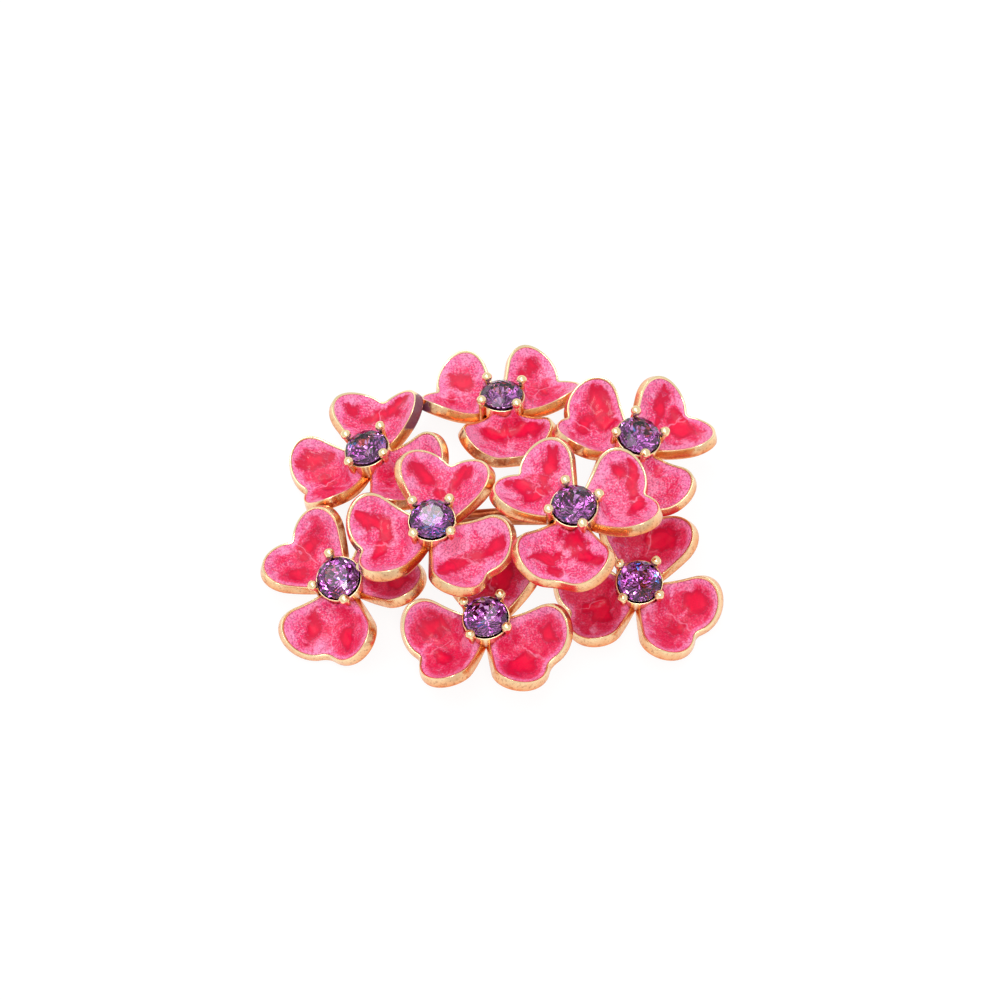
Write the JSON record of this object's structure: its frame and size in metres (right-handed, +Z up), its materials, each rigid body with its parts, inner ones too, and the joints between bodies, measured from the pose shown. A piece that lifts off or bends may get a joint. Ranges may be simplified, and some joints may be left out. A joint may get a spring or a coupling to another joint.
{
  "type": "clover brooch",
  "caption": "Cluster brooch of cupped three-petalled enamelled clovers, each with a round stone in a cup with prongs, on a barred back frame with a pin.",
  "frame": {"origin": "centre of the bounding box's footprint, on the plane that the brooch lies on", "axes": "+Z up out of the brooch's face, +X to the right and +Y away from the viewer as in the picture; the pin's stem runs along X under the frame"},
  "size_m": [0.0472, 0.0425, 0.0152],
  "materials": {
    "yellow_gold": "polished",
    "pink_enamel": "glossy, translucent over gold",
    "purple_stone": "cut and polished"
  },
  "bodies": {
    "root": {"clover_1": "yellow_gold", "clover_2": "yellow_gold", "clover_3": "yellow_gold", "clover_4": "yellow_gold", "clover_5": "yellow_gold", "clover_6": "yellow_gold", "clover_7": "yellow_gold", "clover_8": "yellow_gold", "enamel_1": "pink_enamel", "enamel_2": "pink_enamel", "enamel_3": "pink_enamel", "enamel_4": "pink_enamel", "enamel_5": "pink_enamel", "enamel_6": "pink_enamel", "enamel_7": "pink_enamel", "enamel_8": "pink_enamel", "stone_1": "purple_stone", "stone_2": "purple_stone", "stone_3": "purple_stone", "stone_4": "purple_stone", "stone_5": "purple_stone", "stone_6": "purple_stone", "stone_7": "purple_stone", "stone_8": "purple_stone", "back_frame": "yellow_gold", "pin_back": "yellow_gold"}
  },
  "joints": []
}
